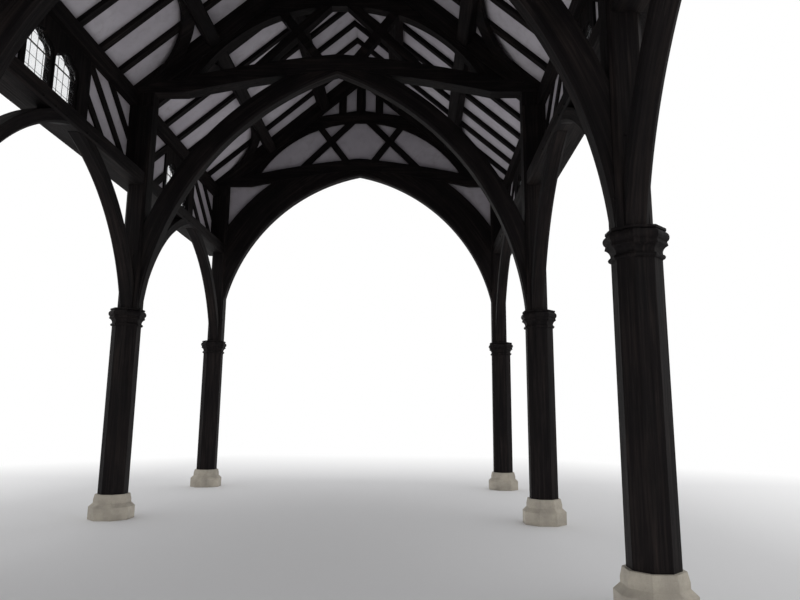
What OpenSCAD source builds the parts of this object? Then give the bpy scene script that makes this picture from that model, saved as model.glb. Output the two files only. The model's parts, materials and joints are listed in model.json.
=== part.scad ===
/* Open timber nave frame with its roof.
   X runs across the nave (south is +X), Y along it (east is +Y), Z up from the floor.
   Lengths are in millimetres. Each bay lies between two trusses. */

/* [Layout] */
// Number of bays along the nave
bay_count = 4; // [2:1:6]
// Distance between neighbouring trusses
bay_length = 3750; // [3400:50:4200]
// Distance between the centre lines of the two rows of posts
nave_span = 5400; // [5000:50:6000]

/* [Posts] */
// Width of the octagonal shaft across its flats
shaft_width = 330; // [280:10:400]
// Height of the stone plinth
plinth_height = 300; // [200:10:450]
// Width of the plinth at the floor
plinth_width = 500; // [420:10:560]
// Floor to the underside of the moulded capital
capital_height = 2410; // [2100:10:2700]
// Depth of the moulded capital
capital_depth = 230; // [210:5:260]
// Overhang of the capital's top past the shaft
capital_overhang = 32; // [25:1:40]
// Width of the square post above the capital
upper_post_width = 260; // [240:10:300]
// Distance that the upper post stands inside the middle of the shaft
upper_post_inset = 30; // [0:5:50]
// Chamfer on the corners of the upper post
post_chamfer = 35; // [15:5:45]

/* [Arcade] */
// Rise of the arcade plate above the capital
upper_post_rise = 1690; // [1600:10:1780]
// Depth of the arcade plate
arcade_plate_depth = 170; // [140:10:260]
// Distance that the arcade plate stands inside the post centre line
arcade_plate_inset = 130; // [90:5:150]
// Radius of the soffit of each arcade brace
arcade_brace_radius = 2490; // [2350:10:2650]
// Height of the point where the two soffits of a bay would meet, over the plate's underside
arcade_point_rise = 25; // [10:5:60]
// Depth of the curved arcade braces
arcade_brace_depth = 140; // [110:5:200]
// Thickness of the arcade braces
arcade_brace_thickness = 160; // [100:10:180]

/* [Clerestory] */
// Depth of the clerestory sill over the arcade plate
sill_depth = 140; // [100:5:200]
// Rise of the wall plate above the sill
clerestory_rise = 830; // [780:10:900]
// Depth of the wall plate
wall_plate_depth = 210; // [160:10:260]
// Distance from the post centre line to the inner face of the wall plaster
wall_offset = 150; // [120:5:190]
// Thickness of the clerestory wall outside its inner plaster face
wall_thickness = 80; // [60:5:120]
// Distance that the studs stand proud of the inner plaster
stud_projection = 25; // [15:5:50]
// Distance that the sill and the wall plate stand proud of the studs
plate_projection = 75; // [40:5:90]
// Width of a raking stud square to its length
stud_width = 105; // [80:5:140]
// Angle of the raking studs above level
stud_angle = 38; // [34:1:46]
// Spacing of the raking studs along the wall
stud_pitch = 575; // [500:5:640]
// Distance along the wall from the truss to the edge of the first stud's foot
stud_start = 870; // [800:5:900]
// Number of raking studs in each half of a bay
stud_count = 3; // [2:1:4]
// Width of the window frame
window_width = 1340; // [1240:10:1400]
// Distance that the window frame is set west of the middle of the bay
window_shift = 30; // [0:5:60]
// Width of one window light
light_width = 465; // [400:5:480]
// Width of the mullion between the lights
mullion_width = 50; // [40:5:100]
// Distance that the lights are set west of the middle of the bay
light_shift = 115; // [0:5:130]
// Height of the foot of the lights above the sill
light_foot = 20; // [10:5:60]
// Distance from the top of a light to the wall plate
light_head = 195; // [150:5:240]
// Radius of the middle lobe of a light's head
lobe_radius = 107; // [90:1:115]
// Width of the step round each light on the inner face of the window frame
reveal_width = 14; // [6:1:18]
// Depth of that step
reveal_depth = 18; // [8:1:30]
// Distance of the glass behind the inner face of the window frame
glass_inset = 45; // [20:5:60]

/* [Trusses] */
// Width of the tie-beams and principal rafters
tie_width = 200; // [160:10:260]
// Depth of the tie-beam at its centre
tie_depth = 230; // [200:10:280]
// Rise of the tie-beam's top at its centre above the wall plate
tie_rise = 570; // [500:10:640]
// Radius of each half of the tie-beam's camber
camber_radius = 16130; // [12000:10:24000]
// Slope of the tie-beam's top beside its centre in thousandths
camber_slope = 94; // [60:2:120]
// Radius of the soffit of the cross braces
cross_brace_radius = 3920; // [3800:10:4300]
// Depth of the crown of that soffit below the underside of the tie-beam
cross_brace_drop = 50; // [20:5:90]
// Depth of the cross braces
cross_brace_depth = 260; // [200:10:320]
// Radius of the soffit of the deep braces at the two ends
end_brace_radius = 3280; // [3100:10:3500]
// Height of the foot of the deep braces above the capital
end_brace_foot = 780; // [700:10:860]
// Depth of the crown of their soffit below the underside of the tie-beam
end_brace_drop = 110; // [60:5:160]
// Depth of the deep braces at the two ends
end_brace_depth = 590; // [480:10:640]
// Chamfer along the hollow edge of the cross braces and the arcade braces
brace_chamfer = 25; // [10:5:35]
// Thickness of the cross braces
cross_brace_thickness = 180; // [120:10:200]
// Distance of the collar's straight underside at the centre below the top of the roof frame
collar_drop = 1258; // [1180:1:1340]
// Slope in degrees of the collar to each side
collar_angle = 8.5; // [4.5:0.1:10.5]
// Depth of the collar before its underside is hollowed
collar_depth = 313; // [260:1:340]
// Radius of the hollow edge of the curved braces below the principal rafters
haunch_radius = 2240; // [2100:10:2400]
// Distance of the upper end of those braces from the ridge line
haunch_head = 950; // [900:10:1000]
// Distance of the lower end of those braces inside the post centre line
haunch_foot = 740; // [700:10:780]
// Thickness of the collar and the timbers below it
collar_thickness = 140; // [100:10:180]
// Width of each arm of the crossed braces above the tie-beam
arm_width = 120; // [90:5:150]
// Distance from the ridge line to the place where two arms cross
arm_cross_offset = 580; // [540:5:620]
// Distance of that place below the collar's straight underside at the centre
arm_cross_drop = 343; // [300:1:380]
// Slope in degrees of the arm that rises away from the ridge line
rising_arm_angle = 53; // [48:1:58]
// Slope in degrees of the arm that falls away from the ridge line
falling_arm_angle = 45; // [40:1:50]
// Width of the middle stud above the collar in each end gable
king_stud_width = 180; // [140:10:220]
// Width of the studs beside it
side_stud_width = 150; // [120:10:180]
// Distance from the middle stud to each of them
side_stud_offset = 365; // [320:5:410]

/* [Roof] */
// Slope of the roof in degrees
roof_pitch = 40.7; // [38:0.1:44]
// Depth of the principal rafters square to the slope
principal_depth = 280; // [250:5:320]
// Width of the common rafters
rafter_width = 90; // [70:5:140]
// Depth of the common rafters square to the slope
rafter_depth = 60; // [45:5:90]
// Spaces between common rafters in one bay
rafter_spaces = 7; // [5:1:9]
// Width of the purlins along the slope
purlin_width = 190; // [150:5:230]
// Depth of the purlins below the rafters
purlin_depth = 200; // [170:5:210]
// Chamfer on the lower edges of the purlins and the arcade plate
timber_chamfer = 20; // [10:5:35]
// Distance of the lower purlin from the ridge line
lower_purlin_offset = 1880; // [1800:10:1960]
// Distance of the upper purlin from the ridge line
upper_purlin_offset = 850; // [780:10:920]
// Radius of the hollow edge of the wind braces
wind_brace_radius = 1050; // [950:10:1100]
// Distance that the wind braces are let past the face of the principal rafter
wind_brace_inset = 20; // [0:5:40]
// Distance up the slope from the wall plaster to the centre of that edge
wind_brace_foot = 100; // [60:5:140]
// Depth of the wind braces
wind_brace_depth = 190; // [150:5:220]
// Thickness of the wind braces square to the slope
wind_brace_thickness = 60; // [40:5:90]
// Thickness of the roof plaster
lining_thickness = 30; // [20:5:40]
// Thickness of the boards and battens over the plaster
covering_thickness = 90; // [70:5:120]
// Rise of the underside of the roof plaster above the wall plate at the wall plaster
rafter_foot_rise = 90; // [60:5:120]
// Overhang of the roof past the outer face of the wall
eaves_overhang = 240; // [150:10:320]
// Overhang of the roof past the end trusses
verge_overhang = 120; // [60:10:240]

/* [Hidden] */
// Facets of drawn curves
$fn = 96;
// Stations in each half of the tie-beam's camber
camber_steps = 12;
// Stations of the hollow edge of each haunch, up to the ridge line
haunch_steps = 48;
// Thickness of the window glass
glass_thickness = 6;
// Thickness of the plaster in the end gables and between the wall studs
panel_thickness = 60;
// Depth that one cut runs past the solid it cuts
past = 50;
// Length of the crossed arms before they are cut to length
arm_length = 1710;
// Overhang of the plinth's top past the shaft
plinth_overhang = 25;
// Depth of the step in the plinth
plinth_step = 45;
// Heights of the parts of the plinth as shares of its height
plinth_base_share = 0.5;
plinth_step_share = 0.65;
plinth_band_share = 0.78;
// Radius of the bead at the foot of the capital
bead_radius = 20;
// First and last direction of the bead's edge in degrees
bead_from = -90;
bead_to = 80;
// Radius of the hollow neck, and its centre outside the shaft and above the foot
neck_radius = 60;
neck_offset = 62;
neck_rise = 46;
// First and last direction of the neck's edge in degrees
neck_from = 172;
neck_to = 112;
// Radius of the roll under the top, and its centre outside the shaft and below the top
roll_radius = 45;
roll_offset = 5;
roll_drop = 65;
// First and last direction of the roll's edge in degrees
roll_from = -52;
roll_to = 76;
// Depth of the flat edge at the top of the capital
fillet_depth = 20;
// Stations of the bead, the neck and the roll
bead_steps = 5;
neck_steps = 4;
roll_steps = 6;
// Depth of the middle of the side lobes below the middle lobe as a share of their radius
lobe_drop_share = 0.65;
// Facets of the long arcs
long_arc_facets = 960;
// Sides of the shaft, plinth and capital
post_sides = 8;

half_span = nave_span / 2;
half_length = bay_count * bay_length / 2;
post_face = half_span - upper_post_inset - upper_post_width / 2;
post_back = post_face + upper_post_width;
wall_line = half_span + wall_offset;
wall_outer = wall_line + wall_thickness;
stud_line = wall_line - stud_projection;
plate_line = stud_line - plate_projection;
arcade_plate_line = half_span - arcade_plate_inset;
capital_top = capital_height + capital_depth;
arcade_plate_base = capital_top + upper_post_rise;
arcade_plate_top = arcade_plate_base + arcade_plate_depth;
sill_top = arcade_plate_top + sill_depth;
wall_plate_base = sill_top + clerestory_rise;
wall_plate_top = wall_plate_base + wall_plate_depth;
collar_base = roof_z(0) - collar_drop;
tie_base = wall_plate_top + tie_rise - tie_depth;
bay_reach = bay_length / 2 - upper_post_width / 2;
purlin_offsets = [lower_purlin_offset, upper_purlin_offset];
gable_face = half_length + tie_width / 2;
light_base = sill_top + light_foot;
light_top = wall_plate_base - light_head;
capital_spread = shaft_width / 2 + roll_offset + roll_radius;
post_turn = 180 / post_sides;

oak = [0.13, 0.10, 0.09];
stone = [0.62, 0.59, 0.54];
plaster = [0.80, 0.79, 0.82];
clear = [0.80, 0.88, 0.92];
clay = [0.45, 0.27, 0.20];

// Height of the underside of the roof plaster at a distance from the ridge line
function roof_z(x) = wall_plate_top + rafter_foot_rise + (wall_line - x) * tan(roof_pitch);

// Height of the top of the tie-beam at a distance from the ridge line
function tie_top(x) =
    wall_plate_top + tie_rise - x * camber_slope / 1000 - x * x / (2 * camber_radius);

// Fall of the collar at a distance from the ridge line
function fall(x) = x * tan(collar_angle);

// Turns an outline in X and Z into a board across the nave
module across(thickness) {
    rotate([90, 0, 0])
        linear_extrude(thickness, center = true)
            children();
}

// Turns an outline in Y and Z into a board along the nave, from one X to another
module along(from, to) {
    translate([from, 0, 0])
        rotate([90, 0, 90])
            linear_extrude(to - from)
                children();
}

module at_each_truss() {
    for (i = [0 : bay_count])
        translate([0, i * bay_length - half_length, 0])
            children();
}

module at_inner_trusses() {
    for (i = [1 : bay_count - 1])
        translate([0, i * bay_length - half_length, 0])
            children();
}

module at_end_trusses() {
    for (end = [-1, 1])
        translate([0, end * half_length, 0])
            children();
}

module in_each_bay() {
    for (i = [0 : bay_count - 1])
        translate([0, (i + 0.5) * bay_length - half_length, 0])
            children();
}

// The north side is the mirror image of the south side
module north() {
    mirror([1, 0, 0])
        children();
}

// Octagonal moulding from an outline of its section, held between mitred faces
module octagonal(spread) {
    intersection_for(turn = [0 : 2 * post_turn : 180 - post_turn])
        rotate([90, 0, turn])
            linear_extrude(4 * spread, center = true)
                children();
}

module octagon_shaft(width, height) {
    rotate([0, 0, post_turn])
        cylinder(h = height, d = width / cos(post_turn), $fn = post_sides);
}

module plinth() {
    octagonal(plinth_width)
        plinth_section();
}

module plinth_section() {
    top = shaft_width / 2 + plinth_overhang;
    foot = plinth_width / 2;
    waist = foot - plinth_step;
    polygon([
        [-foot, 0], [foot, 0],
        [foot, plinth_height * plinth_base_share],
        [waist, plinth_height * plinth_step_share],
        [waist, plinth_height * plinth_band_share],
        [top, plinth_height], [-top, plinth_height],
        [-waist, plinth_height * plinth_band_share],
        [-waist, plinth_height * plinth_step_share],
        [-foot, plinth_height * plinth_base_share]
    ]);
}

// Points of an arc from its centre, radius and first and last angle
function arc(centre, radius, from, to, steps) = [
    for (i = [0 : steps])
        let (a = from + (to - from) * i / steps)
            centre + radius * [cos(a), sin(a)]
];

// Edge of the capital from its foot to its top: bead, hollow neck, roll and fillet
function capital_edge(core, height) = concat(
    arc([core, bead_radius], bead_radius, bead_from, bead_to, bead_steps),
    arc([core + neck_offset, neck_rise], neck_radius, neck_from, neck_to, neck_steps),
    arc([core + roll_offset, height - roll_drop], roll_radius, roll_from, roll_to, roll_steps),
    [[core + capital_overhang, height - fillet_depth], [core + capital_overhang, height]]
);

// Both edges of the capital, as one outline
module capital_section() {
    edge = capital_edge(shaft_width / 2, capital_depth);
    last = len(edge) - 1;
    polygon(concat(edge, [for (i = [0 : last]) [-edge[last - i][0], edge[last - i][1]]]));
}

module upper_post() {
    inner = post_face;
    half = upper_post_width / 2;
    // Free shaft between the capital and the wall
    translate([0, 0, capital_top])
        linear_extrude(upper_post_rise)
            chamfered_post(inner, post_back, half);
    // Head of the post, as deep as the wall behind it
    translate([0, 0, arcade_plate_base])
        linear_extrude(wall_plate_base - arcade_plate_base)
            chamfered_head(inner, wall_outer, half);
    // Upstand beside the wall plate, under the tie-beam
    translate([inner, -half + post_chamfer, wall_plate_base])
        cube([plate_line - inner, 2 * (half - post_chamfer), wall_plate_depth]);
}

module chamfered_post(inner, outer, half) {
    polygon([
        [inner + post_chamfer, -half], [outer - post_chamfer, -half],
        [outer, post_chamfer - half], [outer, half - post_chamfer],
        [outer - post_chamfer, half], [inner + post_chamfer, half],
        [inner, half - post_chamfer], [inner, post_chamfer - half]
    ]);
}

module chamfered_head(inner, outer, half) {
    polygon([
        [inner + post_chamfer, -half], [outer, -half], [outer, half],
        [inner + post_chamfer, half], [inner, half - post_chamfer],
        [inner, post_chamfer - half]
    ]);
}

module post() {
    translate([half_span, 0, plinth_height])
        octagon_shaft(shaft_width, capital_height - plinth_height);
    translate([half_span, 0, capital_height])
        octagonal(capital_spread)
            capital_section();
    upper_post();
}

// Ring of timber about the Z axis, chamfered along both edges of its hollow side
module timber_ring(radius, depth, thickness) {
    half = thickness / 2;
    rotate_extrude($fn = long_arc_facets)
        translate([radius, 0])
            polygon([
                [0, brace_chamfer - half], [brace_chamfer, -half],
                [depth, -half], [depth, half],
                [brace_chamfer, half], [0, half - brace_chamfer]
            ]);
}

// Pair of curved braces between two posts, under the arcade plate
module arcade_arch() {
    for (side = [0, 1])
        mirror([0, side, 0])
            arcade_brace();
}

module arcade_brace() {
    foot = [(bay_length - shaft_width) / 2, capital_top];
    point = [0, arcade_plate_base + arcade_point_rise];
    centre = arc_centre(foot, point, arcade_brace_radius);
    middle = (post_face + post_back) / 2;
    intersection() {
        translate([middle, centre[0], centre[1]])
            rotate([0, 90, 0])
                timber_ring(arcade_brace_radius, arcade_brace_depth, arcade_brace_thickness);
        translate([post_face, 0, capital_top])
            cube([upper_post_width, bay_reach, upper_post_rise]);
    }
}

module arcade_plate() {
    across(2 * bay_reach)
        polygon([
            [arcade_plate_line + timber_chamfer, arcade_plate_base],
            [wall_outer, arcade_plate_base], [wall_outer, arcade_plate_top],
            [arcade_plate_line, arcade_plate_top],
            [arcade_plate_line, arcade_plate_base + timber_chamfer]
        ]);
}

module wall_plate() {
    translate([plate_line, -gable_face, wall_plate_base])
        cube([wall_outer - plate_line, 2 * gable_face, wall_plate_depth]);
}

// Wall area of one bay between two posts, above the arcade plate
module wall_field(base) {
    translate([-bay_reach, base])
        square([2 * bay_reach, wall_plate_base - base]);
}

module window_field() {
    translate([-window_width / 2 - window_shift, sill_top])
        square([window_width, clerestory_rise]);
}

// One light with a three-lobed head, widened all round its jambs and head
module light(more) {
    side_lobe = light_width / 4;
    middle = light_top - lobe_radius;
    shoulder = middle - side_lobe * lobe_drop_share;
    translate([-light_width / 2 - more, light_base])
        square([light_width + 2 * more, shoulder - light_base]);
    for (side = [-1, 1])
        translate([side * side_lobe, shoulder])
            circle(side_lobe + more);
    translate([0, middle])
        circle(lobe_radius + more);
    translate([-side_lobe, shoulder - side_lobe / 2])
        square([2 * side_lobe, middle - shoulder + side_lobe / 2]);
}

module both_lights(more = 0) {
    for (side = [-1, 1])
        translate([side * (mullion_width + light_width) / 2 - light_shift, 0])
            light(more);
}

module window_frame() {
    step = stud_line + reveal_depth;
    along(stud_line, step)
        difference() {
            window_field();
            both_lights(reveal_width);
        }
    along(step, wall_outer)
        difference() {
            window_field();
            both_lights();
        }
}

module window_panes() {
    inner = stud_line + glass_inset;
    along(inner, inner + glass_thickness)
        both_lights();
}

// Raking studs of half a bay, which lean towards the window
module raking_studs() {
    run = clerestory_rise / tan(stud_angle);
    breadth = stud_width / sin(stud_angle);
    foot = bay_length / 2 - stud_start;
    for (k = [0 : stud_count - 1])
        translate([foot + k * stud_pitch, sill_top])
            polygon([
                [0, 0], [breadth, 0],
                [breadth - run, clerestory_rise], [-run, clerestory_rise]
            ]);
}

module all_raking_studs() {
    for (side = [0, 1])
        mirror([side, 0])
            raking_studs();
}

module clerestory_studs() {
    along(stud_line, wall_outer)
        difference() {
            intersection() {
                wall_field(sill_top);
                all_raking_studs();
            }
            window_field();
        }
}

module clerestory_sill() {
    translate([plate_line, -bay_reach, arcade_plate_top])
        cube([wall_outer - plate_line, 2 * bay_reach, sill_depth]);
}

module clerestory_plaster() {
    along(wall_line, wall_line + panel_thickness)
        difference() {
            wall_field(sill_top);
            window_field();
            all_raking_studs();
        }
}

// Stations along the top of the tie-beam, lowered by a distance, from north to south
function camber(drop) = [
    for (i = [-camber_steps : camber_steps])
        let (x = i * wall_outer / camber_steps)
            [x, tie_top(abs(x)) - drop]
];

// Everything below the cambered line, lowered by a distance
module below_camber(drop) {
    polygon(concat(camber(drop), [[wall_outer, 0], [-wall_outer, 0]]));
}

// The tie-beam is thinned underneath, where each end bears on its post and wall plate
module tie_outline() {
    difference() {
        intersection() {
            below_camber(0);
            roof_interior();
        }
        below_camber(tie_depth);
        translate([-wall_outer - past, 0])
            square([2 * (wall_outer + past), wall_plate_top]);
    }
}

// Area under the roof plaster
module roof_interior() {
    foot = wall_outer + past;
    polygon([
        [-foot, 0], [foot, 0], [foot, roof_z(foot)],
        [0, roof_z(0)], [-foot, roof_z(foot)]
    ]);
}

// Area on the south side between two depths below the roof plaster
module slope_band(top, bottom) {
    foot = wall_outer;
    polygon([
        [0, roof_z(0) - bottom / cos(roof_pitch)],
        [foot, roof_z(foot) - bottom / cos(roof_pitch)],
        [foot, roof_z(foot) - top / cos(roof_pitch)],
        [0, roof_z(0) - top / cos(roof_pitch)]
    ]);
}

module tie_beam(number) {
    translate([0, (number - 1) * bay_length - half_length, 0])
        across(tie_width)
            tie_outline();
}

// Centre of a circle through two points, the second up and to the left of the first,
// which curves over them from below
function arc_centre(low, high, radius) =
    let (
        chord = norm(high - low),
        along_chord = (high - low) / chord,
        square_to_chord = [along_chord[1], -along_chord[0]]
    )
    (low + high) / 2 - square_to_chord * sqrt(radius * radius - chord * chord / 4);

// Half of the arch of curved braces under a tie-beam, from its radius and its two ends
module cross_brace(radius, depth, foot, crown) {
    centre = arc_centre(foot, crown, radius);
    intersection() {
        translate([centre[0], 0, centre[1]])
            rotate([90, 0, 0])
                timber_ring(radius, depth, cross_brace_thickness);
        across(cross_brace_thickness + past)
            difference() {
                below_tie_field();
                tie_outline();
                above_tie();
            }
    }
}

// Area on the south side between the post, the ridge line and the top of the tie-beam
module below_tie_field() {
    translate([0, capital_top])
        square([post_face, wall_plate_top + tie_rise - capital_top]);
}

// Everything on and over the tie-beam
module above_tie() {
    difference() {
        translate([-wall_outer, wall_plate_top - past])
            square([2 * wall_outer, 4 * tie_rise]);
        below_camber(past);
    }
}

module inner_cross_brace() {
    cross_brace(cross_brace_radius, cross_brace_depth, [post_face, capital_top],
        [0, tie_base - cross_brace_drop]);
}

module end_cross_brace() {
    cross_brace(end_brace_radius, end_brace_depth, end_foot(), end_crown());
}

function end_foot() = [post_face, capital_top + end_brace_foot];

function end_crown() = [0, tie_base - end_brace_drop];

// Area between a deep brace, the tie-beam over it and the post on the south side
module end_spandrel() {
    difference() {
        below_tie_field();
        translate(arc_centre(end_foot(), end_crown(), end_brace_radius))
            circle(end_brace_radius + end_brace_depth, $fn = long_arc_facets);
        tie_outline();
        above_tie();
    }
}

module cross_braces() {
    at_inner_trusses()
        inner_cross_brace();
    at_end_trusses()
        end_cross_brace();
}

// Inclined timber under the roof plaster on the south side of one truss
module principal() {
    across(tie_width)
        difference() {
            slope_band(0, principal_depth);
            below_camber(0);
        }
}

// Area of the collar, which rises to a blunt point and is hollowed between the haunches
module collar_outline() {
    reach = half_span;
    top = collar_base + collar_depth;
    difference() {
        intersection() {
            polygon([
                [0, collar_base], [reach, collar_base - fall(reach)],
                [reach, top - fall(reach)], [0, top],
                [-reach, top - fall(reach)], [-reach, collar_base - fall(reach)]
            ]);
            inside_principals();
        }
        arch_space();
    }
}

// Area below the principal rafters
module inside_principals() {
    drop = principal_depth / cos(roof_pitch);
    polygon([
        [-wall_outer, roof_z(wall_outer) - drop], [0, roof_z(0) - drop],
        [wall_outer, roof_z(wall_outer) - drop], [wall_outer, 0], [-wall_outer, 0]
    ]);
}

// Space over the tie-beam, under the collar and inside the principal rafters
module lower_field() {
    difference() {
        inside_principals();
        below_camber(0);
        translate([-wall_outer, 0])
            square([2 * wall_outer, wall_plate_top]);
        collar_and_above();
    }
}

module collar_and_above() {
    reach = wall_outer;
    polygon([
        [0, collar_base], [reach, collar_base - fall(reach)],
        [reach, roof_z(0)], [-reach, roof_z(0)], [-reach, collar_base - fall(reach)]
    ]);
}

module upper_field() {
    difference() {
        inside_principals();
        below_collar_top();
    }
}

module below_collar_top() {
    reach = wall_outer;
    top = collar_base + collar_depth;
    polygon([
        [0, top], [reach, top - fall(reach)], [reach, 0],
        [-reach, 0], [-reach, top - fall(reach)]
    ]);
}

module collar() {
    across(collar_thickness)
        collar_outline();
}

// South half of the arch, whose arc is the hollow edge of the south haunch brace
module haunch_hollow() {
    foot = half_span - haunch_foot;
    head = [haunch_head, collar_base - fall(haunch_head)];
    centre = arc_centre([foot, tie_top(foot)], head, haunch_radius);
    crown = acos(-centre[0] / haunch_radius);
    polygon(concat(arc(centre, haunch_radius, 0, crown, haunch_steps), [[0, centre[1]]]));
}

// Area inside the arch that both haunches and the collar make
module arch_space() {
    haunch_hollow();
    mirror([1, 0])
        haunch_hollow();
}

// Curved brace under the principal rafter, from the tie-beam to the collar
module haunch() {
    across(collar_thickness)
        difference() {
            intersection() {
                lower_field();
                translate([0, wall_plate_top])
                    square([wall_outer, tie_rise * 4]);
            }
            haunch_hollow();
        }
}

// Both arms of the crossed braces on the south side, before they are cut to length
module arms() {
    for (angle = [rising_arm_angle, -falling_arm_angle])
        translate([arm_cross_offset, collar_base - arm_cross_drop])
            rotate(angle)
                square([arm_length, arm_width], center = true);
}

// Crossed braces between the tie-beam and the collar
module saltire() {
    across(collar_thickness)
        difference() {
            intersection() {
                arch_space();
                arms();
            }
            below_camber(0);
        }
}

// Upright studs over the collar in an end gable, before they are cut to length
module upright_studs() {
    translate([-king_stud_width / 2, 0])
        square([king_stud_width, roof_z(0)]);
    for (side = [-1, 1])
        translate([side * side_stud_offset - side_stud_width / 2, 0])
            square([side_stud_width, roof_z(0)]);
}

module gable_stud_set() {
    across(collar_thickness)
        intersection() {
            upper_field();
            upright_studs();
        }
}

module gable_plaster() {
    across(panel_thickness) {
        difference() {
            arch_space();
            below_camber(0);
            arms();
            mirror([1, 0])
                arms();
        }
        difference() {
            upper_field();
            upright_studs();
        }
        end_spandrel();
        mirror([1, 0])
            end_spandrel();
    }
}

// Places an outline at a point of the slope, with its first axis running down the slope
module on_slope(x) {
    translate([x, roof_z(x)])
        rotate(-roof_pitch)
            children();
}

module purlins() {
    depth = rafter_depth + purlin_depth;
    in_each_bay()
        for (x = purlin_offsets)
            across(bay_length - tie_width)
                on_slope(x)
                    polygon([
                        [timber_chamfer - purlin_width / 2, -depth],
                        [purlin_width / 2 - timber_chamfer, -depth],
                        [purlin_width / 2, timber_chamfer - depth],
                        [purlin_width / 2, purlin_depth - depth],
                        [-purlin_width / 2, purlin_depth - depth],
                        [-purlin_width / 2, timber_chamfer - depth]
                    ]);
}

module rafters() {
    spacing = bay_length / rafter_spaces;
    in_each_bay()
        for (i = [1 : rafter_spaces - 1])
            translate([0, i * spacing - bay_length / 2, 0])
                across(rafter_width)
                    difference() {
                        slope_band(0, rafter_depth);
                        square([wall_outer + past, wall_plate_top]);
                    }
}

// Lays an outline of distance along the nave and distance up the slope under the rafters
module under_rafters(thickness) {
    translate([wall_line, 0, roof_z(wall_line)])
        rotate([0, roof_pitch, 0])
            rotate([0, 0, 90])
                translate([0, 0, -rafter_depth - thickness])
                    linear_extrude(thickness)
                        children();
}

module wind_brace_outline() {
    purlin_edge = (wall_line - lower_purlin_offset) / cos(roof_pitch) - purlin_width / 2;
    centre = [tie_width / 2 + wind_brace_radius - wind_brace_inset, wind_brace_foot];
    intersection() {
        difference() {
            translate(centre)
                circle(wind_brace_radius + wind_brace_depth);
            translate(centre)
                circle(wind_brace_radius);
        }
        translate([tie_width / 2, centre[1]])
            square([wind_brace_radius, purlin_edge - centre[1]]);
    }
}

module wind_braces() {
    for (i = [0 : bay_count])
        for (side = [-1, 1])
            if (i + side >= 0 && i + side <= bay_count)
                translate([0, i * bay_length - half_length, 0])
                    mirror([0, (1 - side) / 2, 0])
                        under_rafters(wind_brace_thickness)
                            wind_brace_outline();
}

// Sheet over the slope, between two heights square to the underside of the plaster
module slope_sheet(from, to, foot, half) {
    top = to / cos(roof_pitch);
    bottom = from / cos(roof_pitch);
    across(2 * half)
        polygon([
            [0, roof_z(0) + bottom], [foot, roof_z(foot) + bottom],
            [foot, roof_z(foot) + top], [0, roof_z(0) + top]
        ]);
}

module roof_plaster() {
    slope_sheet(0, lining_thickness, wall_outer, gable_face);
}

module roof_covering() {
    slope_sheet(lining_thickness, lining_thickness + covering_thickness,
        wall_outer + eaves_overhang, gable_face + verge_overhang);
}

module plinths() {
    color(stone)
        at_each_truss()
            for (side = [-1, 1])
                translate([side * half_span, 0, 0])
                    plinth();
}

module posts_south() {
    color(oak)
        at_each_truss()
            post();
}

module posts_north() {
    north()
        posts_south();
}

module arcade_arches_south() {
    color(oak)
        in_each_bay()
            arcade_arch();
}

module arcade_arches_north() {
    north()
        arcade_arches_south();
}

module arcade_plates_south() {
    color(oak)
        in_each_bay()
            arcade_plate();
}

module arcade_plates_north() {
    north()
        arcade_plates_south();
}

module clerestory_sills_south() {
    color(oak)
        in_each_bay()
            clerestory_sill();
}

module clerestory_sills_north() {
    north()
        clerestory_sills_south();
}

module clerestory_studs_south() {
    color(oak)
        in_each_bay()
            clerestory_studs();
}

module clerestory_studs_north() {
    north()
        clerestory_studs_south();
}

module window_frames_south() {
    color(oak)
        in_each_bay()
            window_frame();
}

module window_frames_north() {
    north()
        window_frames_south();
}

module window_panes_south() {
    color(clear)
        in_each_bay()
            window_panes();
}

module window_panes_north() {
    north()
        window_panes_south();
}

module clerestory_plaster_south() {
    color(plaster)
        in_each_bay()
            clerestory_plaster();
}

module clerestory_plaster_north() {
    north()
        clerestory_plaster_south();
}

module wall_plate_south() {
    color(oak)
        wall_plate();
}

module wall_plate_north() {
    north()
        wall_plate_south();
}

module tie_beams() {
    color(oak)
        for (number = [1 : bay_count + 1])
            tie_beam(number);
}

module cross_braces_south() {
    color(oak)
        cross_braces();
}

module cross_braces_north() {
    north()
        cross_braces_south();
}

module principals_south() {
    color(oak)
        at_each_truss()
            principal();
}

module principals_north() {
    north()
        principals_south();
}

module collars() {
    color(oak)
        at_each_truss()
            collar();
}

module haunches_south() {
    color(oak)
        at_each_truss()
            haunch();
}

module haunches_north() {
    north()
        haunches_south();
}

module saltires_south() {
    color(oak)
        at_each_truss()
            saltire();
}

module saltires_north() {
    north()
        saltires_south();
}

module gable_studs() {
    color(oak)
        at_end_trusses()
            gable_stud_set();
}

module gable_plaster_west() {
    color(plaster)
        translate([0, -half_length, 0])
            gable_plaster();
}

module gable_plaster_east() {
    color(plaster)
        translate([0, half_length, 0])
            gable_plaster();
}

module purlins_south() {
    color(oak)
        purlins();
}

module purlins_north() {
    north()
        purlins_south();
}

module wind_braces_south() {
    color(oak)
        wind_braces();
}

module wind_braces_north() {
    north()
        wind_braces_south();
}

module rafters_south() {
    color(oak)
        rafters();
}

module rafters_north() {
    north()
        rafters_south();
}

module roof_plaster_south() {
    color(plaster)
        roof_plaster();
}

module roof_plaster_north() {
    north()
        roof_plaster_south();
}

module roof_covering_south() {
    color(clay)
        roof_covering();
}

module roof_covering_north() {
    north()
        roof_covering_south();
}

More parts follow.
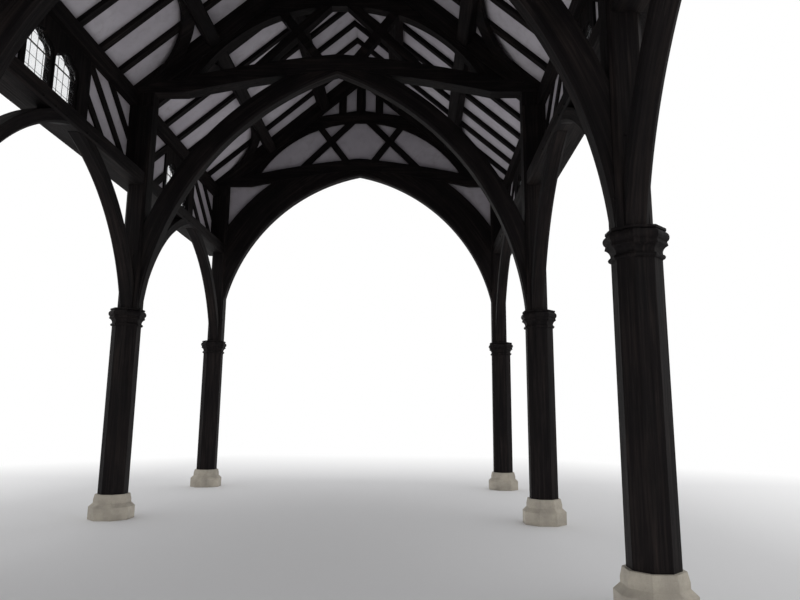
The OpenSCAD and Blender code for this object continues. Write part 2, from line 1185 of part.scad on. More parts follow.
plinths();
posts_north();
posts_south();
arcade_arches_north();
arcade_arches_south();
arcade_plates_north();
arcade_plates_south();
clerestory_sills_north();
clerestory_sills_south();
clerestory_studs_north();
clerestory_studs_south();
window_frames_north();
window_frames_south();
window_panes_north();
window_panes_south();
clerestory_plaster_north();
clerestory_plaster_south();
wall_plate_north();
wall_plate_south();
tie_beams();
cross_braces_north();
cross_braces_south();
principals_north();
principals_south();
collars();
haunches_north();
haunches_south();
saltires_north();
saltires_south();
gable_studs();
gable_plaster_west();
gable_plaster_east();
purlins_north();
purlins_south();
wind_braces_north();
wind_braces_south();
rafters_north();
rafters_south();
roof_plaster_north();
roof_plaster_south();
roof_covering_north();
roof_covering_south();
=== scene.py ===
import json
import math
import random

import bmesh
import bpy
from mathutils import Matrix, Vector


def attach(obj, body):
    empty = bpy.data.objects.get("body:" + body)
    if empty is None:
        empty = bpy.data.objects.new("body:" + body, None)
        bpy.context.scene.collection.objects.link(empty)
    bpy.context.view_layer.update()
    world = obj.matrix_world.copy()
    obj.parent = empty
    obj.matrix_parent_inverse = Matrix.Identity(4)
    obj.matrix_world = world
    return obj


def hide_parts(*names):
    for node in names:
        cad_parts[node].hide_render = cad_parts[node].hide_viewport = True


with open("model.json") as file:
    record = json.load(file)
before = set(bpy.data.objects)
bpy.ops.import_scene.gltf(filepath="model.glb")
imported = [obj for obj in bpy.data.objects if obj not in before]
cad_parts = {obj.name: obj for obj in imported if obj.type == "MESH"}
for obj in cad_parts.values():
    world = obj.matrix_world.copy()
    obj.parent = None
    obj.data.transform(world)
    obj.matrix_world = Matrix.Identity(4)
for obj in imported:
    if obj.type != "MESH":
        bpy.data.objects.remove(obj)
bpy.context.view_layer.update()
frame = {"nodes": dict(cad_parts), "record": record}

nodes = frame["nodes"]
random.seed(7)

# Lengths are in metres. Y runs along the nave, X across it and Z up.

# Camera as fitted to the photograph: place, turns in degrees, and lens in pixels of the picture
CAMERA_PLACE = (1.086, -4.638, 1.3)
CAMERA_YAW, CAMERA_TILT, CAMERA_ROLL = 1.31, 10.05, 0.49
LENS_PIXELS, PICTURE_WIDTH = 649.0, 800.0
SENSOR_WIDTH, CLIP_END = 36.0, 300.0

# Sizes of the frame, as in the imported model
BAY = 3.75
BAYS = 4
HALF_LENGTH = BAY * BAYS / 2
PITCH = math.radians(40.7)
RIDGE = 8.2214
TRUSSES = [BAY * n - HALF_LENGTH for n in range(BAYS + 1)]
BAY_CENTRES = [BAY * (n + 0.5) - HALF_LENGTH for n in range(BAYS)]
SIDES = {"south": 1, "north": -1}
ENDS = (-1, 1)

# Slopes of the raked timbers, and centre and radius of the curved ones
RAKES = {"stud": math.radians(38), "slope": -PITCH}
CURVES = {"arcade": ((2.557, 1.9645), 2.49), "brace": ((-1.365, 2.295), 3.92),
          "haunch": ((0.056, 4.767), 2.24)}

# Layers of the roof, as heights square to the slope over the underside of its plaster
BOARD_FOOT, BOARD_TOP, BATTEN_TOP = 0.030, 0.050, 0.075

# End of the roof along the nave, and its lowest and highest lines as distances down the slope
VERGE = 7.72
TAIL, ROOF_HEAD = 4.10, -0.045

# Plain clay tiles: size, rise for each metre of slope, camber, gauge and gap at each side
TILE_LENGTH, TILE_THICKNESS, TILE_RISE, TILE_CAMBER = 0.265, 0.012, 0.14, 0.002
GAUGE, TILE_SIDE_GAP = 0.100, 0.0015
TILES_IN_COURSE = 93
TILE_PITCH = 2 * VERGE / (TILES_IN_COURSE + 0.5)
TILE_STEPS = 3

# How far a single tile may stray, and mean and spread of the shades
TILE_LIFT, TILE_SKEW, TILE_SLIP = 0.0022, 0.0035, 0.003
TILE_SHADES, RIDGE_SHADES = (0.5, 0.24), (0.45, 0.2)

# Gap at a butt joint of two boards or battens
JOINT_GAP = 0.001

# Height of the centre line of the half-round ridge tiles
RIDGE_CENTRE = 8.287

# Windows: centres of the two lights beside the middle of a bay, and their width
LIGHTS = (-0.3725, 0.1425)
LIGHT_WIDTH = 0.465

# Windows: foot and head of a light, centres of its side lobes, and radii of its lobes
LIGHT_FOOT, LIGHT_HEAD, LOBES = 4.66, 5.275, 5.092
TOP_LOBE, SIDE_LOBE = 0.107, 0.116

# Windows: how far out the glass stands, and height of the saddle bar
PANE = 2.873
SADDLE = 5.055

# Lines of the pegs in a tie-beam: height at the middle, fall, bend, and drop under the top face
TIE_CROWN, TIE_FALL, TIE_BEND, TIE_PEG_DROP = 6.25, 0.094, 32.26, 0.185

# Lamps: name, place, point that it faces, size and watts
LAMPS = (("west_lamp", (0.0, -20.0, 5.0), (0.0, 0.0, 5.0), (12.0, 6.0), 380.0),
         ("south_lamp", (16.0, -4.0, 6.0), (0.0, -4.0, 6.0), (16.0, 6.0), 280.0),
         ("floor_lamp", (0.0, 0.0, 0.02), (0.0, 0.0, 5.0), (5.0, 15.0), 85.0))

# Strength of the world where it lights the object, and where it is seen as the white backdrop
SKY_LIGHT, SKY_SEEN = 0.85, 1.0

# Floor: half its size, and where it fades out beside and beyond the frame
FLOOR_REACH = 60.0
FADE_SIDE, FADE_END = (4.5, 12.0), (8.5, 17.0)


# Camera at the photograph's viewing angle
def add_camera():
    yaw, tilt, roll = (math.radians(turn) for turn in (CAMERA_YAW, CAMERA_TILT, CAMERA_ROLL))
    forward = Vector((-math.sin(yaw) * math.cos(tilt), math.cos(yaw) * math.cos(tilt), math.sin(tilt)))
    level_right = Vector((math.cos(yaw), math.sin(yaw), 0.0))
    level_up = level_right.cross(forward)
    right = math.cos(roll) * level_right + math.sin(roll) * level_up
    up = math.cos(roll) * level_up - math.sin(roll) * level_right
    data = bpy.data.cameras.new("camera")
    data.sensor_fit = "HORIZONTAL"
    data.sensor_width = SENSOR_WIDTH
    data.lens = LENS_PIXELS * SENSOR_WIDTH / PICTURE_WIDTH
    data.clip_end = CLIP_END
    camera = bpy.data.objects.new("camera", data)
    turn = Matrix((right, up, -forward)).transposed().to_4x4()
    camera.matrix_world = Matrix.Translation(Vector(CAMERA_PLACE)) @ turn
    bpy.context.scene.collection.objects.link(camera)
    bpy.context.scene.camera = camera


# Small helper for building node materials
class Surface:
    def __init__(self, name):
        self.material = bpy.data.materials.new(name)
        self.material.use_nodes = True
        self.tree = self.material.node_tree
        self.shader = self.tree.nodes["Principled BSDF"]
        self.place = self.node("ShaderNodeTexCoord").outputs["Object"]

    def node(self, kind, **settings):
        made = self.tree.nodes.new(kind)
        for key, value in settings.items():
            setattr(made, key, value)
        return made

    def feed(self, socket, value):
        if isinstance(value, bpy.types.NodeSocket):
            self.tree.links.new(value, socket)
        else:
            socket.default_value = value

    def math(self, operation, *values):
        made = self.node("ShaderNodeMath", operation=operation)
        for socket, value in zip(made.inputs, values):
            self.feed(socket, value)
        return made.outputs[0]

    def parts(self, vector):
        made = self.node("ShaderNodeSeparateXYZ")
        self.feed(made.inputs[0], vector)
        return made.outputs

    def join(self, x, y, z):
        made = self.node("ShaderNodeCombineXYZ")
        for socket, value in zip(made.inputs, (x, y, z)):
            self.feed(socket, value)
        return made.outputs[0]

    # Coordinates for a texture that is drawn out along the first of them
    def stretched(self, u, v, w, along, across):
        return self.join(self.math("MULTIPLY", u, along), self.math("MULTIPLY", v, across),
                         self.math("MULTIPLY", w, across))

    def noise(self, vector, scale=1.0, detail=3.0, roughness=0.5, distortion=0.0):
        made = self.node("ShaderNodeTexNoise")
        self.feed(made.inputs["Vector"], vector)
        made.inputs["Scale"].default_value = scale
        made.inputs["Detail"].default_value = detail
        made.inputs["Roughness"].default_value = roughness
        made.inputs["Distortion"].default_value = distortion
        return made.outputs["Fac"]

    # Sum of two values, each times its share
    def blend(self, first, share, second, other_share):
        return self.math("ADD", self.math("MULTIPLY", first, share),
                         self.math("MULTIPLY", second, other_share))

    def ramp(self, factor, stops):
        made = self.node("ShaderNodeValToRGB")
        self.feed(made.inputs[0], factor)
        band = made.color_ramp
        while len(band.elements) < len(stops):
            band.elements.new(0.5)
        for element, (at, colour) in zip(band.elements, stops):
            element.position = at
            element.color = (*colour, 1.0)
        return made.outputs[0]

    def mix(self, factor, first, second):
        made = self.node("ShaderNodeMix", data_type="RGBA")
        self.feed(made.inputs[0], factor)
        for socket, value in ((made.inputs[6], first), (made.inputs[7], second)):
            self.feed(socket, value if isinstance(value, bpy.types.NodeSocket) else (*value, 1.0))
        return made.outputs[2]

    def between(self, value, low, high, to_low=0.0, to_high=1.0):
        made = self.node("ShaderNodeMapRange")
        for socket, number in zip(made.inputs, (value, low, high, to_low, to_high)):
            self.feed(socket, number)
        return made.outputs[0]

    def bump(self, height, distance, strength, after=None):
        made = self.node("ShaderNodeBump")
        made.inputs["Strength"].default_value = strength
        made.inputs["Distance"].default_value = distance
        self.feed(made.inputs["Height"], height)
        if after is not None:
            self.feed(made.inputs["Normal"], after)
        return made.outputs[0]

    # Normal that rounds the edges off
    def worn(self, radius):
        made = self.node("ShaderNodeBevel", samples=4)
        made.inputs["Radius"].default_value = radius
        return made.outputs[0]

    # Tone of each tile or board, from the attribute that Piece.build writes
    def shade(self):
        return self.node("ShaderNodeAttribute", attribute_name="shade").outputs["Fac"]

    def set(self, **values):
        for key, value in values.items():
            self.feed(self.shader.inputs[key.replace("_", " ")], value)
        return self.material


# Distance along the nave folded at each truss and each middle of a bay
def folded(s, y):
    return s.math("PINGPONG", s.math("ADD", y, HALF_LENGTH), BAY / 2)


# Turns a pair of coordinates so that the first runs along a raked timber
def raked(s, first, second, angle):
    c, n = math.cos(angle), math.sin(angle)
    u = s.math("ADD", s.math("MULTIPLY", first, c), s.math("MULTIPLY", second, n))
    v = s.math("SUBTRACT", s.math("MULTIPLY", second, c), s.math("MULTIPLY", first, n))
    return u, v


# Distance along an arc and from its centre, for a curved timber
def turned(s, first, second, centre, radius):
    along = s.math("SUBTRACT", first, centre[0])
    up = s.math("SUBTRACT", second, centre[1])
    reach = s.math("SQRT", s.math("ADD", s.math("MULTIPLY", along, along), s.math("MULTIPLY", up, up)))
    return s.math("MULTIPLY", s.math("ARCTAN2", up, along), radius), reach


# Coordinates with the first along the timber, for each way that a timber can run
def grain(s, run):
    x, y, z = s.parts(s.place)
    straight = {"x": (x, y, z), "y": (y, x, z), "z": (z, x, y), "window": (z, x, y)}
    if run in straight:
        return straight[run]
    if run in ("stud", "arcade"):
        first, last = folded(s, y), x
    else:
        first, last = s.math("ABSOLUTE", x), y
    if run in RAKES:
        return (*raked(s, first, z, RAKES[run]), last)
    return (*turned(s, first, z, *CURVES[run]), last)


# Dark oak with its fibres along the timber, hewn faces and edges worn round
def oak(name, run, wear=0.010, hewing=0.55, relief=0.8):
    s = Surface(name)
    u, v, w = grain(s, run)
    fibres = s.noise(s.stretched(u, v, w, along=1.6, across=52.0), detail=5.0, roughness=0.62,
                     distortion=0.4)
    figure = s.noise(s.stretched(u, v, w, along=0.7, across=9.0), distortion=1.2)
    patches = s.noise(s.place, 1.7, 3.0, 0.6)
    tone = s.ramp(s.blend(fibres, 0.55, figure, 0.45),
                  [(0.30, (0.0026, 0.0021, 0.0025)), (0.50, (0.0085, 0.0067, 0.0069)),
                   (0.70, (0.0260, 0.0198, 0.0178))])
    colour = s.mix(s.between(patches, 0.42, 0.68, 0.0, 0.6), tone, (0.0028, 0.0024, 0.0029))
    cracks = s.noise(s.stretched(u, v, w, along=0.9, across=22.0), detail=2.0, roughness=0.4,
                     distortion=0.2)
    split = s.between(s.math("ABSOLUTE", s.math("SUBTRACT", cracks, 0.5)), 0.0, 0.016)
    hewn = s.noise(s.stretched(u, v, w, along=4.0, across=9.0), detail=2.0)
    surface = s.bump(hewn, 0.008, hewing, s.worn(wear))
    surface = s.bump(s.blend(fibres, 0.35, split, 0.65), 0.0024, relief, surface)
    gloss = s.between(s.blend(fibres, 0.5, patches, 0.5), 0.3, 0.7, 0.82, 0.58)
    return s.set(Base_Color=colour, Roughness=gloss, Normal=surface, Specular_IOR_Level=0.08)


# Lime plaster with stains, and with painted shade, broken up by noise, where it meets the timbers
def plaster():
    s = Surface("lime_plaster")
    wide = s.noise(s.place, 0.9, 4.0, 0.6)
    close = s.noise(s.place, 7.0, 5.0, 0.6)
    grit = s.noise(s.place, 90.0, 3.0, 0.6)
    stain = s.noise(s.place, 2.6, 6.0, 0.72, 1.5)
    colour = s.mix(s.between(wide, 0.35, 0.7), (0.58, 0.552, 0.592), (0.44, 0.408, 0.452))
    colour = s.mix(s.between(close, 0.5, 0.75, 0.0, 0.45), colour, (0.36, 0.335, 0.36))
    colour = s.mix(s.between(stain, 0.56, 0.72, 0.0, 0.55), colour, (0.34, 0.30, 0.315))
    # Painted shade: ambient occlusion darkens the colour where timbers are close, broken up by noise
    near = s.node("ShaderNodeAmbientOcclusion", samples=6)
    near.inputs["Distance"].default_value = 0.12
    painted_shade = s.math("MULTIPLY", s.between(near.outputs["AO"], 0.45, 0.90, 0.60, 0.0),
                   s.between(close, 0.3, 0.65, 0.35, 1.0))
    colour = s.mix(painted_shade, colour, (0.24, 0.215, 0.215))
    height = s.blend(close, 0.7, grit, 0.12)
    return s.set(Base_Color=colour, Roughness=0.88, Normal=s.bump(height, 0.006, 0.6))


def stone():
    s = Surface("plinth_stone")
    wide = s.noise(s.place, 5.0, 5.0, 0.65)
    grit = s.noise(s.place, 140.0, 4.0, 0.7)
    colour = s.mix(s.between(wide, 0.35, 0.7), (0.44, 0.40, 0.335), (0.29, 0.265, 0.225))
    colour = s.mix(s.between(grit, 0.5, 0.8, 0.0, 0.5), colour, (0.19, 0.175, 0.15))
    height = s.blend(wide, 0.5, grit, 0.25)
    return s.set(Base_Color=colour, Roughness=0.82, Normal=s.bump(height, 0.004, 0.7, s.worn(0.012)))


# Fired clay, each tile with a tone of its own, with lichen and dark weathering
def tile():
    s = Surface("clay_tile")
    wide = s.noise(s.place, 0.8, 4.0, 0.6)
    close = s.noise(s.place, 40.0, 4.0, 0.6)
    growth = s.noise(s.place, 9.0, 6.0, 0.75, 0.8)
    fired = s.ramp(s.shade(), [(0.0, (0.105, 0.052, 0.038)), (0.35, (0.20, 0.085, 0.055)),
                               (0.75, (0.30, 0.125, 0.070)), (1.0, (0.38, 0.19, 0.11))])
    colour = s.mix(s.between(wide, 0.35, 0.70, 0.0, 0.5), fired, (0.125, 0.070, 0.052))
    colour = s.mix(s.between(close, 0.52, 0.8, 0.0, 0.55), colour, (0.090, 0.066, 0.050))
    colour = s.mix(s.between(growth, 0.60, 0.68, 0.0, 0.7), colour, (0.30, 0.29, 0.20))
    height = s.math("ADD", close, s.math("MULTIPLY", growth, 0.4))
    return s.set(Base_Color=colour, Roughness=0.82, Normal=s.bump(height, 0.0025, 0.7))


def mortar():
    s = Surface("lime_mortar")
    close = s.noise(s.place, 30.0, 5.0, 0.7)
    grit = s.noise(s.place, 160.0, 3.0, 0.7)
    colour = s.mix(s.between(close, 0.35, 0.7), (0.42, 0.39, 0.34), (0.27, 0.25, 0.215))
    height = s.math("ADD", close, s.math("MULTIPLY", grit, 0.4))
    return s.set(Base_Color=colour, Roughness=0.9, Normal=s.bump(height, 0.004, 0.8))


# Sawn softwood of the boards and battens, a little different from board to board
def softwood():
    s = Surface("sawn_boards")
    x, y, z = s.parts(s.place)
    lines = s.noise(s.stretched(y, x, z, along=2.0, across=60.0), detail=4.0, roughness=0.6,
                    distortion=0.3)
    colour = s.ramp(s.blend(lines, 0.6, s.shade(), 0.4),
                    [(0.2, (0.045, 0.033, 0.025)), (0.8, (0.115, 0.085, 0.062))])
    return s.set(Base_Color=colour, Roughness=0.78, Normal=s.bump(lines, 0.0015, 0.6))


def glass():
    s = Surface("pale_glass")
    waves = s.noise(s.place, 14.0, 2.0, 0.5)
    tint = s.mix(s.between(waves, 0.35, 0.65), (0.99, 0.996, 1.0), (0.97, 0.986, 1.0))
    return s.set(Base_Color=tint, Roughness=0.04, Transmission_Weight=0.99, IOR=1.45,
                 Normal=s.bump(waves, 0.002, 0.35))


def iron():
    s = Surface("wrought_iron")
    wide = s.noise(s.place, 30.0, 4.0, 0.6)
    colour = s.mix(s.between(wide, 0.4, 0.65), (0.022, 0.021, 0.023), (0.060, 0.038, 0.028))
    return s.set(Base_Color=colour, Roughness=s.between(wide, 0.3, 0.7, 0.45, 0.7), Metallic=0.6,
                 Normal=s.bump(wide, 0.001, 0.6))


def lead():
    s = Surface("window_lead")
    wide = s.noise(s.place, 60.0, 3.0, 0.6)
    colour = s.mix(s.between(wide, 0.4, 0.65), (0.085, 0.088, 0.092), (0.16, 0.165, 0.17))
    return s.set(Base_Color=colour, Roughness=0.6, Metallic=0.5, Normal=s.bump(wide, 0.0006, 0.6))


# Way that the grain runs in each group of oak nodes
RUNS = {
    "posts": "z", "arcade_arches": "arcade", "arcade_plates": "y", "clerestory_sills": "y",
    "clerestory_studs": "stud", "window_frames": "window", "wall_plate": "y", "tie_beams": "x",
    "cross_braces": "brace", "principals": "slope", "collars": "x", "haunches": "haunch",
    "saltires": "slope", "gable_studs": "z", "purlins": "y", "wind_braces": "slope", "rafters": "slope",
}


# One oak for each run of the grain, with sharper and smoother window frames, and the other finishes
def make_finishes():
    made = {run: oak("oak_" + run, run) for run in sorted(set(RUNS.values()) - {"window"})}
    made["window"] = oak("oak_window", "window", wear=0.003, hewing=0.15, relief=0.2)
    made.update(plaster=plaster(), stone=stone(), covering=tile(), glass=glass(), iron=iron(),
                lead=lead(), mortar=mortar(), softwood=softwood())
    return made


def dress_nodes(finishes):
    slots = {part["node"]: part["material_slot"] for part in frame["record"]["subparts"]}
    for name, piece in nodes.items():
        slot = slots[name]
        if slot == "oak":
            stem = max((key for key in RUNS if name.startswith(key)), key=len)
            finish = finishes[RUNS[stem]]
        else:
            finish = finishes[slot]
        if not piece.data.materials:
            piece.data.materials.append(finish)
        for number in range(len(piece.data.materials)):
            piece.data.materials[number] = finish


# Gathers closed solids and turns them into one piece that rides on the frame
class Piece:
    def __init__(self, name, slot, finish):
        self.name, self.slot, self.finish = name, slot, finish
        self.points, self.faces, self.shades = [], [], []

    # Solid through two or more loops that have equally many points
    def loft(self, loops, shade=0.5):
        first, count, before = len(self.points), len(loops[0]), len(self.faces)
        for loop in loops:
            self.points.extend(loop)
        for ring in range(len(loops) - 1):
            base = first + ring * count
            for i in range(count):
                j = (i + 1) % count
                self.faces.append((base + i, base + j, base + count + j, base + count + i))
        last = first + (len(loops) - 1) * count
        self.faces.append(tuple(reversed(range(first, first + count))))
        self.faces.append(tuple(range(last, last + count)))
        self.shades.extend([shade] * (len(self.faces) - before))

    def build(self, replaced=None, smooth=False):
        mesh = bpy.data.meshes.new(self.name)
        mesh.from_pydata([tuple(p) for p in self.points], [], self.faces)
        work = bmesh.new()
        work.from_mesh(mesh)
        bmesh.ops.recalc_face_normals(work, faces=work.faces)
        work.to_mesh(mesh)
        work.free()
        mesh.attributes.new("shade", "FLOAT", "FACE").data.foreach_set("value", self.shades)
        mesh.materials.append(self.finish)
        if smooth:
            mesh.shade_smooth()
            mesh.set_sharp_from_angle(angle=math.radians(40))
        piece = bpy.data.objects.new(self.name, mesh)
        bpy.context.scene.collection.objects.link(piece)
        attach(piece, "root")
        if replaced:
            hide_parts(replaced)


# Point on a roof slope: distance down it, place along the nave, and height square to it
def on_slope(side, down, y, height):
    x = math.cos(PITCH) * down + math.sin(PITCH) * height
    return Vector((side * x, y, RIDGE - math.sin(PITCH) * down + math.cos(PITCH) * height))


def random_shade(mean, spread):
    return min(1.0, max(0.0, random.gauss(mean, spread)))


# One cambered tile, from side to side; top_cut is what the ridge takes off its head
def add_tile(piece, side, head, tail, start, end, top_cut):
    lift, skew = random.uniform(0.0, TILE_LIFT), random.uniform(-TILE_SKEW, TILE_SKEW)
    slip = random.uniform(-TILE_SLIP, TILE_SLIP)
    shade = random_shade(*TILE_SHADES)
    loops = []
    for edge, y in ((-1, start + TILE_SIDE_GAP), (1, end - TILE_SIDE_GAP)):
        under, over = [], []
        for step in range(TILE_STEPS + 1):
            t = step / TILE_STEPS
            down = head + (tail - head) * t + slip + edge * skew * 0.5
            if top_cut:
                down = max(down, head)
            rise = BATTEN_TOP + TILE_RISE * (down - slip - head + top_cut) + lift * t
            rise += TILE_CAMBER * (1 - (2 * t - 1) ** 2)
            under.append(on_slope(side, down, y, rise))
            over.append(on_slope(side, down, y, rise + TILE_THICKNESS))
        loops.append(under + over[::-1])
    piece.loft(loops, shade)


# Courses of plain tiles from the eaves to the ridge, half a tile apart from course to course
def add_tiles(finish):
    courses = int((TAIL - TILE_LENGTH - ROOF_HEAD) / GAUGE) + 2
    for name, side in SIDES.items():
        piece = Piece("roof_tiles_" + name, "covering", finish)
        for course in range(-1, courses):
            tail = min(TAIL - course * GAUGE, TAIL)
            full_head = TAIL - course * GAUGE - TILE_LENGTH
            head = max(full_head, ROOF_HEAD)
            edges = [-VERGE + TILE_PITCH * n for n in range(TILES_IN_COURSE)] + [VERGE]
            if course % 2:
                edges = [-edge for edge in reversed(edges)]
            for start, end in zip(edges, edges[1:]):
                add_tile(piece, side, head, tail, start, end, head - full_head)
        piece.build("roof_covering_" + name)


# Bar along the nave; head and tail are each a distance down the slope and two heights
def slope_bar(piece, side, head, tail, start, end, shade):
    head_at, head_low, head_high = head
    tail_at, tail_low, tail_high = tail
    loops = [[on_slope(side, head_at, y, head_low), on_slope(side, tail_at, y, tail_low),
              on_slope(side, tail_at, y, tail_high), on_slope(side, head_at, y, head_high)]
             for y in (start, end)]
    piece.loft(loops, shade)


# Row of two boards or battens from verge to verge, with a butt joint between them
def add_row(piece, side, head, tail, joint, inset):
    for start, end in ((-VERGE + inset, joint - JOINT_GAP), (joint + JOINT_GAP, VERGE - inset)):
        slope_bar(piece, side, head, tail, start, end, random.random())


# Boards over the plaster, the battens that carry the tiles, and the tilting fillet at the eaves
def add_boards(finish):
    first_head, last_head, last_tail, width, gap = -0.030, 4.11, 4.135, 0.176, 0.003
    board_inset, board_joint = 0.01, 0.3
    batten_width, batten_inset, batten_joint = 0.038, 0.05, 0.4
    fillet_head, fillet_tail = (4.02, BOARD_TOP, 0.0865), (4.09, BOARD_TOP, 0.0960)
    for name, side in SIDES.items():
        boards = Piece("roof_boards_" + name, "oak", finish)
        head, row = first_head, 0
        while head < last_head:
            tail = min(head + width, last_tail)
            add_row(boards, side, (head, BOARD_FOOT, BOARD_TOP), (tail, BOARD_FOOT, BOARD_TOP),
                    TRUSSES[1 + row % 3] + board_joint, board_inset)
            head, row = tail + gap, row + 1
        boards.build()
        battens = Piece("roof_battens_" + name, "oak", finish)
        place, row = TAIL + GAUGE - TILE_LENGTH, 0
        while place > ROOF_HEAD:
            add_row(battens, side, (place, BOARD_TOP, BATTEN_TOP),
                    (place + batten_width, BOARD_TOP, BATTEN_TOP),
                    TRUSSES[1 + (row * 2) % 3] - batten_joint, batten_inset)
            place, row = place - GAUGE, row + 1
        slope_bar(battens, side, fillet_head, fillet_tail, -VERGE + batten_inset, VERGE - batten_inset, 0.5)
        battens.build()


# Half-round ridge tiles, each a little out of line, with the mortar that beds them
def add_ridge(tile_finish, mortar_finish):
    count, gap, outer, inner, steps = 34, 0.005, 0.125, 0.111, 14
    drift_range, lift_range, tail_lift = (-0.003, 0.003), (-0.001, 0.003), 0.0015
    pitch = 2 * VERGE / count
    turns = [math.radians(180 * n / steps) for n in range(steps + 1)]

    def half_round(shift, y, height, radius):
        return [Vector((shift + radius * math.cos(a), y, height + radius * math.sin(a))) for a in turns]

    ridge = Piece("ridge_tiles", "covering", tile_finish)
    for number in range(count):
        start = -VERGE + pitch * number + gap / 2
        drift, lift = random.uniform(*drift_range), random.uniform(*lift_range)
        loops = []
        for end, y in enumerate((start, start + pitch - gap)):
            shift, height = drift * (1 - 2 * end), RIDGE_CENTRE + (lift + tail_lift * end)
            loops.append(half_round(shift, y, height, outer) + half_round(shift, y, height, inner)[::-1])
        ridge.loft(loops, random_shade(*RIDGE_SHADES))

    bedding = Piece("ridge_mortar", "stone", mortar_finish)
    back, top, shoulder, toe, foot = 0.104, 8.305, (0.1235, 8.300), (0.132, 8.2788), 8.270
    toe_range, inset, sections = (-0.003, 0.004), 0.004, 155
    for side in (-1, 1):
        loops = []
        for n in range(sections + 1):
            y = -VERGE + inset + (2 * VERGE - 2 * inset) * n / sections
            out = toe[0] + random.uniform(*toe_range)
            loops.append([Vector((side * back, y, top)), Vector((side * shoulder[0], y, shoulder[1])),
                          Vector((side * out, y, toe[1])), Vector((side * back, y, foot))])
        bedding.loft(loops)
    plug_radius, plug_face, plug_back = 0.110, 0.012, 0.060
    for end in ENDS:
        bedding.loft([half_round(0.0, end * (VERGE - depth), RIDGE_CENTRE, plug_radius)
                      for depth in (plug_face, plug_back)])
    ridge.build(smooth=True)
    bedding.build()


# Mortar that closes the edges of the roof under the tiles
def add_verges(finish):
    head, length, sections = -0.030, 4.12, 83
    back, face, lean, top = 0.049, 0.008, 0.002, BATTEN_TOP + 0.008
    face_range = (-0.003, 0.002)
    verges = Piece("verge_mortar", "stone", finish)
    for side in SIDES.values():
        for end in ENDS:
            loops = []
            for n in range(sections + 1):
                down = head + length * n / sections
                out = VERGE - face + random.uniform(*face_range)
                loops.append([on_slope(side, down, end * (VERGE - back), BOARD_TOP),
                              on_slope(side, down, end * out, BOARD_TOP),
                              on_slope(side, down, end * (out + lean), top),
                              on_slope(side, down, end * (VERGE - back), top)])
            verges.loft(loops)
    verges.build()


# Round bar between two points; radii gives pairs of a share of the way and a radius
def round_bar(piece, start, end, radii, sides):
    axis = (end - start).normalized()
    across = axis.orthogonal().normalized()
    up = axis.cross(across)
    loops = []
    for t, radius in radii:
        centre = start + (end - start) * t
        loops.append([centre + radius * (math.cos(2 * math.pi * n / sides) * across
                                         + math.sin(2 * math.pi * n / sides) * up) for n in range(sides)])
    piece.loft(loops)


# Side of the nave and place along it of each light of the windows
def each_light():
    return [(side, centre + light) for side in SIDES.values() for centre in BAY_CENTRES for light in LIGHTS]


# Iron saddle bar across each light, which the leads are tied to
def add_saddle_bars(finish):
    radius, set_in, clearance, sides = 0.006, 0.012, 0.002, 12
    bars = Piece("saddle_bars", "oak", finish)
    half = LIGHT_WIDTH / 2 - clearance
    for side, middle in each_light():
        x = side * (PANE - set_in)
        round_bar(bars, Vector((x, middle - half, SADDLE)), Vector((x, middle + half, SADDLE)),
                  ((0.0, radius), (1.0, radius)), sides)
    bars.build(smooth=True)


# Height of the head of a light at a distance from its middle
def light_top(away):
    middle, side = LIGHT_HEAD - TOP_LOBE, abs(away) - (LIGHT_WIDTH / 2 - SIDE_LOBE)
    tops = [LIGHT_FOOT]
    if abs(away) < TOP_LOBE:
        tops.append(middle + math.sqrt(TOP_LOBE ** 2 - away ** 2))
    if abs(side) < SIDE_LOBE:
        tops.append(LOBES + math.sqrt(SIDE_LOBE ** 2 - side ** 2))
    return max(tops)


# Lead cames that hold the quarries of each light, a little proud on both faces of the glass
def add_leads(finish):
    width, depth, crown = 0.002, 0.004, 0.0055
    section = ((-width, -depth), (0.0, -crown), (width, -depth),
               (width, depth), (0.0, crown), (-width, depth))
    leads = Piece("window_leads", "oak", finish)

    def came(side, start, end):
        along = (end[0] - start[0], end[1] - start[1])
        length = math.hypot(*along)
        across = (-along[1] / length, along[0] / length)
        leads.loft([[Vector((side * PANE + out, y + across[0] * half, z + across[1] * half))
                     for half, out in section] for y, z in (start, end)])

    pitch, quarry, clearance = LIGHT_WIDTH / 4, 0.1315, 0.001
    reaches = ((-2, 0.231), (-1, 0.231), (0, 0.231), (1, 0.184))
    for side, middle in each_light():
        for n in (-1, 0, 1):
            y = middle + n * pitch
            came(side, (y, LIGHT_FOOT), (y, light_top(n * pitch) - clearance))
        for n, reach in reaches:
            z = SADDLE + n * quarry
            came(side, (middle - reach, z), (middle + reach, z))
    leads.build()


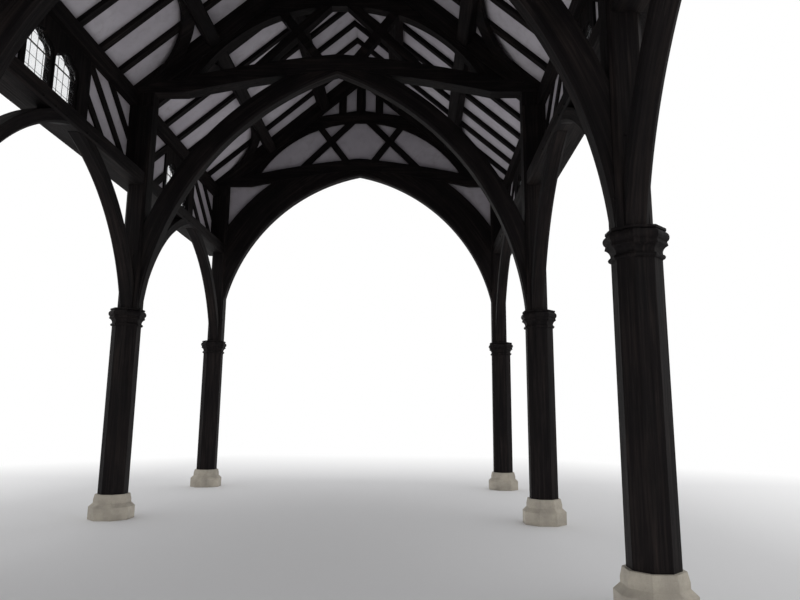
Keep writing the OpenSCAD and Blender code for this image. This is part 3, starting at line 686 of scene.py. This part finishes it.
# Oak pegs that stand a little proud where the timbers are tenoned together
def add_pegs(finish):
    sunk, proud_range, radius_range, lean = 0.02, (0.004, 0.013), (0.0115, 0.0135), 0.0015
    pegs = Piece("oak_pegs", "oak", finish)

    def peg(x, y, z, direction):
        proud, radius = random.uniform(*proud_range), random.uniform(*radius_range)
        outward = Vector(direction)
        start = Vector((x, y, z)) - outward * sunk
        end = Vector((x, y, z)) + outward * proud
        turn = random.uniform(-lean, lean)
        end = end + Vector((turn, turn, turn))
        round_bar(pegs, start, end, ((0.0, radius), (0.92, radius * 0.97), (1.0, radius * 0.72)), 9)

    # Pegs in the faces of a truss: distance from its middle plane, from the ridge line, and height
    in_truss = [(0.10, x, TIE_CROWN - TIE_FALL * x - x * x / TIE_BEND - TIE_PEG_DROP)
                for x in (0.45, 0.72, 1.00)]
    in_truss += [(0.13, 2.63, 3.16), (0.13, 2.63, 3.34),
                 (0.07, 0.86, 6.94), (0.07, 1.02, 6.92), (0.07, 1.16, 6.90), (0.07, 0.58, 6.62)]
    # Pegs in the inner faces of the arcade: distance from the truss and across the nave, and height
    in_arcade = ((0.085, 2.54, 2.86), (0.085, 2.54, 3.04),
                 (1.22, 2.57, 4.365), (1.44, 2.57, 4.365), (1.66, 2.57, 4.365))
    for truss in TRUSSES:
        for side in SIDES.values():
            for face in ENDS:
                for away, x, z in in_truss:
                    peg(side * x, truss + face * away, z, (0, face, 0))
            for along in ENDS:
                if abs(truss + along) > HALF_LENGTH:
                    continue
                for away, x, z in in_arcade:
                    peg(side * x, truss + along * away, z, (-side, 0, 0))
    pegs.build(smooth=True)


# One for rays that see the backdrop, from the camera, off gloss or through glass, and otherwise zero
def seen_by(tree):
    path = tree.nodes.new("ShaderNodeLightPath")
    seen = path.outputs["Is Camera Ray"]
    for kind in ("Is Glossy Ray", "Is Transmission Ray"):
        both = tree.nodes.new("ShaderNodeMath")
        both.operation = "MAXIMUM"
        tree.links.new(seen, both.inputs[0])
        tree.links.new(path.outputs[kind], both.inputs[1])
        seen = both.outputs[0]
    return seen


# Pale floor that fades into the white backdrop well away from the frame
def add_floor():
    mesh = bpy.data.meshes.new("floor")
    corners = [(x * FLOOR_REACH, y * FLOOR_REACH, 0.0) for x, y in ((-1, -1), (1, -1), (1, 1), (-1, 1))]
    mesh.from_pydata(corners, [], [(0, 1, 2, 3)])
    floor = bpy.data.objects.new("floor", mesh)
    bpy.context.scene.collection.objects.link(floor)
    s = Surface("floor_paint")
    mesh.materials.append(s.set(Base_Color=(0.80, 0.80, 0.81, 1.0), Roughness=0.9))
    x, y, _ = s.parts(s.place)
    beside = s.between(s.math("ABSOLUTE", x), *FADE_SIDE)
    beyond = s.between(s.math("ABSOLUTE", y), *FADE_END)
    away = s.math("MINIMUM", s.math("ADD", beside, beyond), 1.0)
    glow = s.node("ShaderNodeEmission")
    glow.inputs["Color"].default_value = (1.0, 1.0, 1.0, 1.0)
    blend = s.node("ShaderNodeMixShader")
    s.feed(blend.inputs[0], s.math("MULTIPLY", away, seen_by(s.tree)))
    s.feed(blend.inputs[1], s.shader.outputs[0])
    s.feed(blend.inputs[2], glow.outputs[0])
    s.feed(s.tree.nodes["Material Output"].inputs["Surface"], blend.outputs[0])


def add_lamp(name, place, aim, size, power):
    data = bpy.data.lights.new(name, "AREA")
    data.shape = "RECTANGLE"
    data.size, data.size_y = size
    data.energy = power
    lamp = bpy.data.objects.new(name, data)
    lamp.location = place
    lamp.rotation_euler = (Vector(aim) - Vector(place)).to_track_quat("-Z", "Y").to_euler()
    lamp.visible_camera = False
    bpy.context.scene.collection.objects.link(lamp)


# White backdrop for the camera, and a plain soft light from it and from three wide lamps
def add_light():
    world = bpy.data.worlds.new("studio")
    bpy.context.scene.world = world
    world.use_nodes = True
    tree = world.node_tree
    back = tree.nodes["Background"]
    back.inputs["Color"].default_value = (1.0, 1.0, 1.0, 1.0)
    level = tree.nodes.new("ShaderNodeMapRange")
    tree.links.new(seen_by(tree), level.inputs["Value"])
    level.inputs["To Min"].default_value = SKY_LIGHT
    level.inputs["To Max"].default_value = SKY_SEEN
    tree.links.new(level.outputs["Result"], back.inputs["Strength"])
    for lamp in LAMPS:
        add_lamp(*lamp)
    bpy.context.scene.view_settings.view_transform = "Standard"


add_camera()
finishes = make_finishes()
dress_nodes(finishes)
add_tiles(finishes["covering"])
add_boards(finishes["softwood"])
add_ridge(finishes["covering"], finishes["mortar"])
add_verges(finishes["mortar"])
add_saddle_bars(finishes["iron"])
add_leads(finishes["lead"])
add_pegs(finishes["z"])
add_floor()
add_light()
